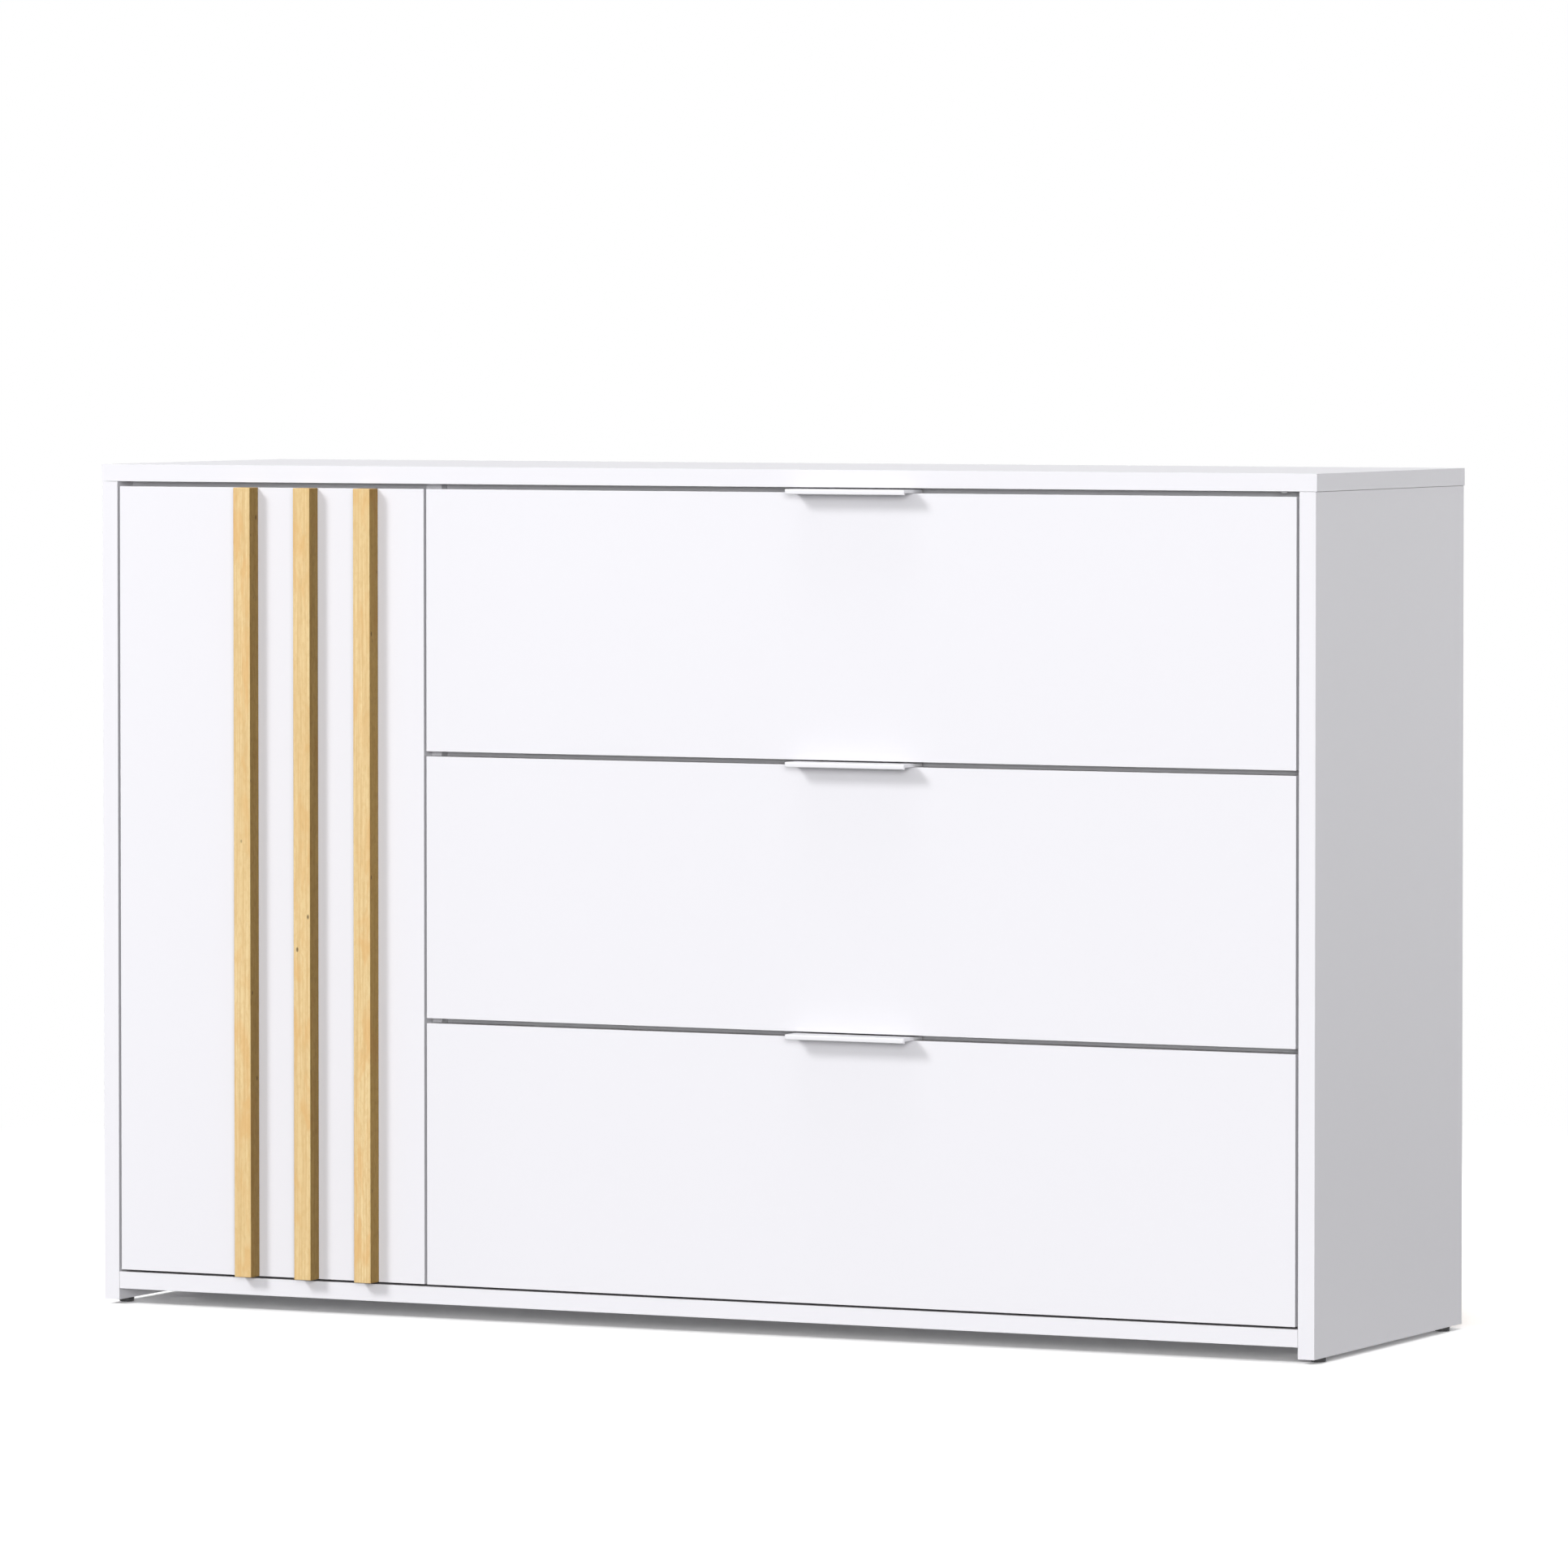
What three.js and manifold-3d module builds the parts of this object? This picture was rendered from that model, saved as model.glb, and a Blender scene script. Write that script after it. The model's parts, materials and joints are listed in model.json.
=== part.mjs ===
// Sideboard with one hinged door and three drawers, built from separate boards,
// slides, hinges, handles and glides. Millimetres, +Z up, front towards -Y.
// Inside this file X runs from the carcass's left face, Y from the plane of the
// fronts and Z from the floor; the last lines centre the whole over its footprint.

import * as THREE from 'three';
import { mergeVertices } from 'three/addons/utils/BufferGeometryUtils.js';
import Module from 'manifold-3d';

const wasm = await Module();
wasm.setup();

// ---- Driving dimensions ------------------------------------------------------

// Carcass
const TOP_WIDTH = 1400;
const TOTAL_HEIGHT = 895;
const CARCASS_DEPTH = 394;
const BOARD = 18; // melamine-faced board: carcass, door, drawer fronts and shelves
const HARDBOARD = 3; // backs and drawer bottoms
const TOP_OVERHANG = 1; // past each side panel
const BACK_INSET = 2; // backs, in from the side panels' outer faces
const BACK_LAP = 12; // backs, up over the back edge of the top panel
const BOTTOM_LIFT = 12; // bottom panel, above the side panels' lower ends
const DOOR_BAY = 361; // clear width behind the door
const SHELF_COUNT = 2;
const SHELF_SETBACK = 22; // shelf, behind the back of the door
const SHELF_BACK_GAP = 4;
const SHELF_PLAY = 0.5; // at each end of a shelf
const SHELF_PIN_RADIUS = 2.5;
const SHELF_PIN_LENGTH = 7;
const SHELF_PIN_INSET = 35; // pins, in from a shelf's front and back edges

// Glides under the side panels
const GLIDE_HEIGHT = 5;
const GLIDE_RADIUS = 8;
const GLIDE_BEVEL = 0.8;
const GLIDE_INSET = 32; // centres, from the front and back edges
const SPIGOT_RADIUS = 2.5;
const SPIGOT_LENGTH = 9;

// Small pad under the top panel, over the top drawer's right end
const PAD_RADIUS = 4;
const PAD_HEIGHT = 2.3;
const PAD_DOME = [[0.5, 0.85], [0.87, 0.5]]; // shares of its radius and height
const PAD_FROM_RIGHT = 20; // centre, from the right side panel's inner face

// Fronts, set between the side panels and flush with their front edges
const SIDE_GAP = 3; // beside a front
const HANDLE_GAP = 5.3; // over each front
const BOTTOM_GAP = 2.4; // under the lowest fronts
const FRONT_TO_DIVIDER = 2; // behind the fronts, ahead of the divider

// Door and its slats
const SLAT_COUNT = 3;
const SLAT_WIDTH = 20;
const SLAT_DEPTH = 19; // from the face of the door to the face of a slat
const SLAT_PITCH = 71.7;
const SLAT_FROM_EDGE = 54; // last slat, from the door's free edge

// Concealed hinges
const HINGE_FROM_END = 94; // hinge centre, from the door's top and bottom edges
const CUP_RADIUS = 17.5; // bore in the door
const CUP_BORE_DEPTH = 12.5;
const CUP_EDGE = 5; // board left between the bore and the door's edge
const CUP_WALL = 1.4;
const CUP_RIM = 1.5; // rim, beyond the bore
const CUP_FLANGE = 1.2;
const CUP_WING_LENGTH = 60;
const CUP_WING_WIDTH = 15;
const LINK_WIDTH = 9; // folded link, from the cup's floor up to the arm's nose
const HINGE_PLATE_LINE = 37; // screw line, behind the back of the door
const HINGE_PLATE = 2.5;
const HINGE_PLATE_HEIGHT = 52;
const HINGE_PLATE_WIDTH = 20;
const HINGE_SADDLE = 3.5; // raised middle of the plate, under the arm
const HINGE_SADDLE_LENGTH = 36;
const HINGE_SADDLE_WIDTH = 11;
const ARM_THICKNESS = 5;
const ARM_WIDTH = 14;
const ARM_TAIL = 30; // arm, behind the screw line
const ARM_CRANK = 9; // sideways step of the arm, towards the cup
const ARM_NOSE = 12; // straight stretch in front of the step

// Drawers
const DRAWER_NAMES = ['bottom', 'middle', 'top'];
const DRAWER_BOARD = 12;
const BOX_HEIGHT = 200;
const BOX_LIFT = 20; // box, above the front's lower edge
const BOX_BOTTOM_LIFT = 12; // drawer bottom, above the box's lower edge
const GROOVE_DEPTH = 6;
const SLIDE_WIDTH = 12.7;
const SLIDE_HEIGHT = 45.5;
const SLIDE_SHEET = 1.2;
const SLIDE_PLAY = 0.5; // ball race clearance between two rails
const SLIDE_CENTRE = 80; // above the box's lower edge
const SLIDE_BACK_GAP = 24; // slides, in front of the carcass's back edge

// Edge handles
const HANDLE_LENGTH = 135;
const HANDLE_REACH = 25; // in front of the drawer front
const HANDLE_PLATE = 3.4;
const HANDLE_LIP = 3;
const HANDLE_LIP_DROP = 1.8;
const HANDLE_FLANGE = 1.6; // behind the drawer front
const HANDLE_FLANGE_DROP = 22;
const HANDLE_OFFSET = 3; // to the right of the front's middle
const HANDLE_ROUND = 1.2;

// Seats: pieces that touch keep this gap
const SEAT = 0.3;

// ---- Derived places ----------------------------------------------------------

const carcassWidth = TOP_WIDTH - 2 * TOP_OVERHANG;
const topUnderside = TOTAL_HEIGHT - BOARD;
const overallDepth = CARCASS_DEPTH + SEAT + HARDBOARD;
const bottomUnderside = GLIDE_HEIGHT + BOTTOM_LIFT;
const bottomTop = bottomUnderside + BOARD;
const leftInner = BOARD;
const rightInner = carcassWidth - BOARD;
const dividerLeft = leftInner + DOOR_BAY;
const dividerRight = dividerLeft + BOARD;
const dividerMiddle = (dividerLeft + dividerRight) / 2;
const dividerFront = BOARD + FRONT_TO_DIVIDER;

const frontsBottom = bottomTop + BOTTOM_GAP;
const frontsTop = topUnderside - HANDLE_GAP;
const doorLeft = leftInner + SIDE_GAP;
const doorRight = dividerMiddle - SIDE_GAP / 2;
const drawerFrontLeft = dividerMiddle + SIDE_GAP / 2;
const drawerFrontRight = rightInner - SIDE_GAP;
const drawerCount = DRAWER_NAMES.length;
const drawerPitch = (frontsTop - frontsBottom + HANDLE_GAP) / drawerCount;
const drawerFrontHeight = drawerPitch - HANDLE_GAP;

const shelfFront = BOARD + SHELF_SETBACK;
const shelfBack = CARCASS_DEPTH - SHELF_BACK_GAP;
const shelfSpace = (topUnderside - bottomTop - SHELF_COUNT * BOARD) / (SHELF_COUNT + 1);
const shelfUndersides = Array.from(
  { length: SHELF_COUNT },
  (_, i) => bottomTop + shelfSpace + i * (shelfSpace + BOARD),
);
const shelfPinRows = [shelfFront + SHELF_PIN_INSET, shelfBack - SHELF_PIN_INSET];

const slideFront = dividerFront;
const slideBack = CARCASS_DEPTH - SLIDE_BACK_GAP;
const boxFront = BOARD + SEAT;
const boxBack = slideBack;
const boxLeft = dividerRight + SEAT + SLIDE_WIDTH + SEAT;
const boxRight = rightInner - SEAT - SLIDE_WIDTH - SEAT;

// ---- Materials ---------------------------------------------------------------

function paint(color, roughness, metalness = 0) {
  return new THREE.MeshStandardMaterial({ color, roughness, metalness });
}

const whiteBoard = paint(0xf4f4f7, 0.45);
const oak = paint(0xddb97a, 0.6);
const drawerBoard = paint(0xf0f0ee, 0.5);
const hardboard = paint(0xe9e7e2, 0.7);
const whiteMetal = paint(0xf6f6f8, 0.35, 0.1);
const zincSteel = paint(0xb9bcc0, 0.35, 0.9);
const blackPlastic = paint(0x1e1e20, 0.6);
const whitePlastic = paint(0xf2f2f2, 0.5);

// ---- Geometry helpers --------------------------------------------------------

// Box between two corners
function block(low, high) {
  const size = high.map((value, i) => value - low[i]);
  const middle = high.map((value, i) => (value + low[i]) / 2);
  return new THREE.BoxGeometry(...size).translate(...middle);
}

// Cylinder along one axis ('x', 'y' or 'z'), from a start point
function rod(axis, start, length, radius, sides = 24) {
  const geometry = new THREE.CylinderGeometry(radius, radius, length, sides);
  geometry.translate(0, length / 2, 0);
  if (axis === 'x') {
    geometry.rotateZ(-Math.PI / 2);
  } else if (axis === 'z') {
    geometry.rotateX(Math.PI / 2);
  }
  return geometry.translate(...start);
}

// Closed outline from a list of [u, v] corners
function outline(corners) {
  return new THREE.Shape(corners.map(([u, v]) => new THREE.Vector2(u, v)));
}

function extrude(shape, depth) {
  return new THREE.ExtrudeGeometry(shape, { depth, bevelEnabled: false, curveSegments: 4 });
}

// Outline in Y and Z, run along X
function extrudeAlongX(shape, from, to) {
  const axes = new THREE.Matrix4().makeBasis(
    new THREE.Vector3(0, 1, 0),
    new THREE.Vector3(0, 0, 1),
    new THREE.Vector3(1, 0, 0),
  );
  return extrude(shape, to - from).applyMatrix4(axes).translate(from, 0, 0);
}

// Outline in X and Z, run along Y
function extrudeAlongY(shape, from, to) {
  const axes = new THREE.Matrix4().makeBasis(
    new THREE.Vector3(1, 0, 0),
    new THREE.Vector3(0, 0, 1),
    new THREE.Vector3(0, -1, 0),
  );
  return extrude(shape, to - from).applyMatrix4(axes).translate(0, to, 0);
}

// Outline in X and Y, run along Z
function extrudeAlongZ(shape, from, to) {
  return extrude(shape, to - from).translate(0, 0, from);
}

// Profile of [radius, height] corners turned about a vertical axis
function turn(profile, sides = 24) {
  const points = profile.map(([radius, height]) => new THREE.Vector2(radius, height));
  return new THREE.LatheGeometry(points, sides).rotateX(Math.PI / 2);
}

function toSolid(geometry) {
  const bare = geometry.clone();
  bare.deleteAttribute('normal');
  bare.deleteAttribute('uv');
  const merged = mergeVertices(bare);
  return new wasm.Manifold(new wasm.Mesh({
    numProp: 3,
    vertProperties: Float32Array.from(merged.attributes.position.array),
    triVerts: Uint32Array.from(merged.index.array),
  }));
}

function toGeometry(solid) {
  const mesh = solid.getMesh();
  const geometry = new THREE.BufferGeometry();
  geometry.setAttribute('position', new THREE.BufferAttribute(mesh.vertProperties, 3));
  geometry.setIndex(new THREE.BufferAttribute(mesh.triVerts, 1));
  return geometry;
}

function cut(geometry, tools) {
  return toGeometry(tools.reduce((rest, tool) => rest.subtract(toSolid(tool)), toSolid(geometry)));
}

function join(geometry, pieces) {
  return toGeometry(pieces.reduce((whole, piece) => whole.add(toSolid(piece)), toSolid(geometry)));
}

// Adds a named mesh to a group, with its own origin in the middle of its box
function addPiece(group, name, geometry, material) {
  geometry.computeBoundingBox();
  const middle = geometry.boundingBox.getCenter(new THREE.Vector3());
  geometry.translate(-middle.x, -middle.y, -middle.z);
  const mesh = new THREE.Mesh(geometry, material);
  mesh.name = name;
  mesh.position.copy(middle);
  group.add(mesh);
}

// ---- Carcass -----------------------------------------------------------------

function addTop(group) {
  const low = [-TOP_OVERHANG, 0, topUnderside];
  const high = [carcassWidth + TOP_OVERHANG, CARCASS_DEPTH, TOTAL_HEIGHT];
  addPiece(group, 'top_panel', block(low, high), whiteBoard);
}

function addBottom(group) {
  const low = [leftInner + SEAT, 0, bottomUnderside];
  const high = [rightInner - SEAT, CARCASS_DEPTH, bottomTop];
  addPiece(group, 'bottom_panel', block(low, high), whiteBoard);
}

const glideRows = [
  ['front', GLIDE_INSET],
  ['back', CARCASS_DEPTH - GLIDE_INSET],
];

// Side panel with a blind hole in its lower end for each glide's spigot
function sidePanel(left) {
  const low = [left, 0, GLIDE_HEIGHT];
  const high = [left + BOARD, CARCASS_DEPTH, topUnderside - SEAT];
  const holes = glideRows.map(([, y]) => rod(
    'z',
    [left + BOARD / 2, y, GLIDE_HEIGHT - SEAT],
    SPIGOT_LENGTH + 2 * SEAT,
    SPIGOT_RADIUS + SEAT,
    16,
  ));
  return cut(block(low, high), holes);
}

// Shelf pins standing out of a board, one under each end of each shelf
function shelfPins(face, direction) {
  const start = direction > 0 ? face - SEAT : face - SHELF_PIN_LENGTH;
  return shelfUndersides.flatMap((underside) => shelfPinRows.map((y) => rod(
    'x',
    [start, y, underside - SEAT - SHELF_PIN_RADIUS],
    SHELF_PIN_LENGTH + SEAT,
    SHELF_PIN_RADIUS,
    12,
  )));
}

function addUprights(group) {
  const leftPanel = join(sidePanel(0), shelfPins(leftInner, 1));
  addPiece(group, 'left_side_panel', leftPanel, whiteBoard);
  addPiece(group, 'right_side_panel', sidePanel(rightInner), whiteBoard);
  const low = [dividerLeft, dividerFront, bottomTop + SEAT];
  const high = [dividerRight, CARCASS_DEPTH, topUnderside - SEAT];
  const divider = join(block(low, high), shelfPins(dividerLeft, -1));
  addPiece(group, 'divider_panel', divider, whiteBoard);
}

function addBacks(group) {
  const y = CARCASS_DEPTH + SEAT;
  const halves = [
    ['back_panel_left', BACK_INSET, dividerMiddle - SEAT / 2],
    ['back_panel_right', dividerMiddle + SEAT / 2, carcassWidth - BACK_INSET],
  ];
  for (const [name, left, right] of halves) {
    const low = [left, y, bottomUnderside];
    const high = [right, y + HARDBOARD, topUnderside + BACK_LAP];
    addPiece(group, name, block(low, high), hardboard);
  }
}

function addShelves(group) {
  shelfUndersides.forEach((underside, i) => {
    const low = [leftInner + SHELF_PLAY, shelfFront, underside];
    const high = [dividerLeft - SHELF_PLAY, shelfBack, underside + BOARD];
    addPiece(group, `shelf_${i + 1}`, block(low, high), whiteBoard);
  });
}

// Round glide with a spigot pushed up into the side panel
function glide(x, y) {
  const seat = GLIDE_HEIGHT - SEAT;
  const profile = [
    [0, 0],
    [GLIDE_RADIUS - GLIDE_BEVEL, 0],
    [GLIDE_RADIUS, GLIDE_BEVEL],
    [GLIDE_RADIUS, seat],
    [SPIGOT_RADIUS, seat],
    [SPIGOT_RADIUS, seat + SPIGOT_LENGTH],
    [0, seat + SPIGOT_LENGTH],
  ];
  return turn(profile).translate(x, y, 0);
}

function addGlides(group) {
  for (const [row, y] of glideRows) {
    addPiece(group, `glide_${row}_left`, glide(BOARD / 2, y), blackPlastic);
    addPiece(group, `glide_${row}_right`, glide(carcassWidth - BOARD / 2, y), blackPlastic);
  }
}

function addPad(group) {
  const top = topUnderside - SEAT;
  const profile = [
    [0, top - PAD_HEIGHT],
    ...PAD_DOME.map(([across, down]) => [PAD_RADIUS * across, top - PAD_HEIGHT * down]),
    [PAD_RADIUS, top],
    [0, top],
  ];
  const x = rightInner - PAD_FROM_RIGHT;
  addPiece(group, 'bumper_pad', turn(profile, 16).translate(x, BOARD / 2, 0), whitePlastic);
}

// ---- Hinges ------------------------------------------------------------------

const hingeHeights = [
  ['lower', frontsBottom + HINGE_FROM_END],
  ['upper', frontsTop - HINGE_FROM_END],
];
const cupX = doorLeft + CUP_EDGE + CUP_RADIUS;
const cupFace = BOARD + SEAT; // seat of the cup's flange, on the door's back
const plateY = BOARD + HINGE_PLATE_LINE;
const plateFace = leftInner + SEAT;
const armSeat = plateFace + HINGE_PLATE + HINGE_SADDLE + SEAT;
const armNose = armSeat + ARM_CRANK;
const armFront = cupFace + CUP_FLANGE + SEAT;

// Flanged cup, open towards the inside of the cabinet, with its folded link
function hingeCup(z) {
  const floorY = cupFace - CUP_BORE_DEPTH + SEAT;
  const depth = cupFace + CUP_FLANGE - floorY;
  const radius = CUP_RADIUS - SEAT;
  const wing = CUP_WING_LENGTH / 2 - CUP_WING_WIDTH / 2;
  const parts = [
    rod('y', [cupX, cupFace, z], CUP_FLANGE, radius + CUP_RIM, 32),
    block(
      [cupX - CUP_WING_WIDTH / 2, cupFace, z - wing],
      [cupX + CUP_WING_WIDTH / 2, cupFace + CUP_FLANGE, z + wing],
    ),
    rod('y', [cupX, cupFace, z - wing], CUP_FLANGE, CUP_WING_WIDTH / 2, 20),
    rod('y', [cupX, cupFace, z + wing], CUP_FLANGE, CUP_WING_WIDTH / 2, 20),
  ];
  const hollow = rod('y', [cupX, floorY + CUP_WALL, z], depth, radius - CUP_WALL, 32);
  const cup = cut(join(rod('y', [cupX, floorY, z], depth, radius, 32), parts), [hollow]);
  const link = block(
    [armNose, floorY + CUP_WALL / 2, z - LINK_WIDTH / 2],
    [armNose + ARM_THICKNESS, cupFace + CUP_FLANGE, z + LINK_WIDTH / 2],
  );
  return join(cup, [link]);
}

// Mounting plate: two wings and a raised saddle under the arm
function hingePlate(z) {
  const wings = block(
    [plateFace, plateY - HINGE_PLATE_WIDTH / 2, z - HINGE_PLATE_HEIGHT / 2],
    [plateFace + HINGE_PLATE, plateY + HINGE_PLATE_WIDTH / 2, z + HINGE_PLATE_HEIGHT / 2],
  );
  const saddle = block(
    [plateFace, plateY - HINGE_SADDLE_LENGTH / 2, z - HINGE_SADDLE_WIDTH / 2],
    [armSeat - SEAT, plateY + HINGE_SADDLE_LENGTH / 2, z + HINGE_SADDLE_WIDTH / 2],
  );
  return join(wings, [saddle]);
}

// Cranked arm, from behind the screw line to just short of the cup
function hingeArm(z) {
  const back = plateY + ARM_TAIL;
  const crankStart = plateY - HINGE_PLATE_WIDTH / 2;
  const nose = armFront + ARM_NOSE;
  const corners = [
    [armSeat, back],
    [armSeat, crankStart],
    [armNose, nose],
    [armNose, armFront],
    [armNose + ARM_THICKNESS, armFront],
    [armNose + ARM_THICKNESS, nose],
    [armSeat + ARM_THICKNESS, crankStart],
    [armSeat + ARM_THICKNESS, back],
  ];
  return extrudeAlongZ(outline(corners), z - ARM_WIDTH / 2, z + ARM_WIDTH / 2);
}

function addHingeBases(group) {
  for (const [place, z] of hingeHeights) {
    addPiece(group, `${place}_hinge_plate`, hingePlate(z), zincSteel);
    addPiece(group, `${place}_hinge_arm`, hingeArm(z), zincSteel);
  }
}

// ---- Door --------------------------------------------------------------------

function addDoor(group) {
  const low = [doorLeft, 0, frontsBottom];
  const high = [doorRight, BOARD, frontsTop];
  const bores = hingeHeights.map(([, z]) => rod(
    'y',
    [cupX, BOARD - CUP_BORE_DEPTH, z],
    CUP_BORE_DEPTH + SEAT,
    CUP_RADIUS,
    32,
  ));
  addPiece(group, 'door_panel', cut(block(low, high), bores), whiteBoard);

  for (let i = 0; i < SLAT_COUNT; i += 1) {
    const right = doorRight - SLAT_FROM_EDGE - (SLAT_COUNT - 1 - i) * SLAT_PITCH;
    const slat = block(
      [right - SLAT_WIDTH, -SLAT_DEPTH, frontsBottom],
      [right, -SEAT, frontsTop],
    );
    addPiece(group, `door_slat_${i + 1}`, slat, oak);
  }

  for (const [place, z] of hingeHeights) {
    addPiece(group, `${place}_hinge_cup`, hingeCup(z), zincSteel);
  }
}

// ---- Drawers -----------------------------------------------------------------

const boxLow = BOX_LIFT;
const boxHigh = BOX_LIFT + BOX_HEIGHT;
const grooveLow = boxLow + BOX_BOTTOM_LIFT;
const grooveHigh = grooveLow + HARDBOARD + 2 * SEAT;
const slideZ = boxLow + SLIDE_CENTRE;

function drawerFront() {
  const low = [drawerFrontLeft, 0, 0];
  const high = [drawerFrontRight, BOARD, drawerFrontHeight];
  const groove = block(
    [boxLeft + DRAWER_BOARD - GROOVE_DEPTH, BOARD - GROOVE_DEPTH, grooveLow],
    [boxRight - DRAWER_BOARD + GROOVE_DEPTH, BOARD + SEAT, grooveHigh],
  );
  return cut(block(low, high), [groove]);
}

// Side of the drawer box, grooved on its inner face
function drawerSide(left, innerFace) {
  const low = [left, boxFront, boxLow];
  const high = [left + DRAWER_BOARD, boxBack, boxHigh];
  const groove = block(
    [innerFace - GROOVE_DEPTH, boxFront - SEAT, grooveLow],
    [innerFace + GROOVE_DEPTH, boxBack + SEAT, grooveHigh],
  );
  return cut(block(low, high), [groove]);
}

// The drawer bottom lies in the grooves and runs under the drawer back
function drawerBottom() {
  const low = [
    boxLeft + DRAWER_BOARD - GROOVE_DEPTH + SEAT,
    BOARD - GROOVE_DEPTH + SEAT,
    grooveLow + SEAT,
  ];
  const high = [boxRight - DRAWER_BOARD + GROOVE_DEPTH - SEAT, boxBack, grooveHigh - SEAT];
  return block(low, high);
}

function drawerBack() {
  const low = [boxLeft + DRAWER_BOARD + SEAT, boxBack - DRAWER_BOARD, grooveHigh];
  const high = [boxRight - DRAWER_BOARD - SEAT, boxBack, boxHigh];
  return block(low, high);
}

// One rail: a channel whose web lies at one edge of its width
function rail(webX, lipX, halfHeight) {
  const inward = Math.sign(lipX - webX) * SLIDE_SHEET;
  const inner = halfHeight - SLIDE_SHEET;
  const corners = [
    [webX, slideZ - halfHeight],
    [lipX, slideZ - halfHeight],
    [lipX, slideZ - inner],
    [webX + inward, slideZ - inner],
    [webX + inward, slideZ + inner],
    [lipX, slideZ + inner],
    [lipX, slideZ + halfHeight],
    [webX, slideZ + halfHeight],
  ];
  return extrudeAlongY(outline(corners), slideFront, slideBack);
}

// The three rails of one slide, nested; direction points from the wall to the box
function addSlide(group, name, wallX, direction) {
  const at = (offset) => wallX + direction * offset;
  const nest = SLIDE_SHEET + SLIDE_PLAY;
  const half = SLIDE_HEIGHT / 2;
  const boxFace = SLIDE_WIDTH;
  const outer = rail(at(0), at(boxFace - nest - SLIDE_PLAY), half);
  const middle = rail(at(nest), at(boxFace - nest), half - nest);
  const inner = rail(at(boxFace), at(2 * nest), half - 2 * nest);
  addPiece(group, `${name}_slide_outer_rail`, outer, zincSteel);
  addPiece(group, `${name}_slide_middle_rail`, middle, zincSteel);
  addPiece(group, `${name}_slide_inner_rail`, inner, zincSteel);
}

// Edge handle: a plate over the front's top edge, with a lip ahead of it
// and a screw flange behind it
function drawerHandle() {
  const under = drawerFrontHeight + SEAT;
  const over = under + HANDLE_PLATE;
  const flangeFront = BOARD + SEAT;
  const flangeBack = flangeFront + HANDLE_FLANGE;
  const section = new THREE.Shape();
  section.moveTo(-HANDLE_REACH, under - HANDLE_LIP_DROP);
  section.lineTo(-HANDLE_REACH + HANDLE_LIP, under - HANDLE_LIP_DROP);
  section.lineTo(-HANDLE_REACH + HANDLE_LIP + HANDLE_ROUND, under);
  section.lineTo(flangeFront, under);
  section.lineTo(flangeFront, over - HANDLE_FLANGE_DROP);
  section.lineTo(flangeBack, over - HANDLE_FLANGE_DROP);
  section.lineTo(flangeBack, over);
  section.lineTo(-HANDLE_REACH + HANDLE_ROUND, over);
  section.quadraticCurveTo(-HANDLE_REACH, over, -HANDLE_REACH, over - HANDLE_ROUND);
  const middle = (drawerFrontLeft + drawerFrontRight) / 2 + HANDLE_OFFSET;
  return extrudeAlongX(section, middle - HANDLE_LENGTH / 2, middle + HANDLE_LENGTH / 2);
}

// A drawer in its own group, whose origin is at the front's lower edge
function buildDrawer(name, index) {
  const drawer = new THREE.Group();
  drawer.position.z = frontsBottom + index * drawerPitch;
  const leftInside = boxLeft + DRAWER_BOARD;
  const rightInside = boxRight - DRAWER_BOARD;
  addPiece(drawer, `${name}_drawer_front`, drawerFront(), whiteBoard);
  addPiece(drawer, `${name}_drawer_left_side`, drawerSide(boxLeft, leftInside), drawerBoard);
  addPiece(drawer, `${name}_drawer_right_side`, drawerSide(rightInside, rightInside), drawerBoard);
  addPiece(drawer, `${name}_drawer_back`, drawerBack(), drawerBoard);
  addPiece(drawer, `${name}_drawer_bottom`, drawerBottom(), hardboard);
  addPiece(drawer, `${name}_drawer_handle`, drawerHandle(), whiteMetal);
  addSlide(drawer, `${name}_left`, dividerRight + SEAT, 1);
  addSlide(drawer, `${name}_right`, rightInner - SEAT, -1);
  return drawer;
}

// ---- Assembly ----------------------------------------------------------------

const sideboard = new THREE.Group();
sideboard.position.set(-carcassWidth / 2, (HANDLE_REACH - overallDepth) / 2, 0);

const carcass = new THREE.Group();
addTop(carcass);
addBottom(carcass);
addUprights(carcass);
addBacks(carcass);
addShelves(carcass);
addGlides(carcass);
addPad(carcass);
addHingeBases(carcass);

const door = new THREE.Group();
addDoor(door);

sideboard.add(carcass, door);
DRAWER_NAMES.forEach((name, index) => sideboard.add(buildDrawer(name, index)));

export default sideboard;
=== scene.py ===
"""Looks of a white sideboard with one slatted door and three drawers.

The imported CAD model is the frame: metres, +Z up, the fronts face -Y. The boards, slats and
rails keep their CAD shape and get bevelled edges and finishes. Handles, hinges, glides, the
bumper pad and the small fittings are modelled here at the places that the frame gives.
"""

import json
import math

import bmesh
import bpy
from mathutils import Matrix, Vector


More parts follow.
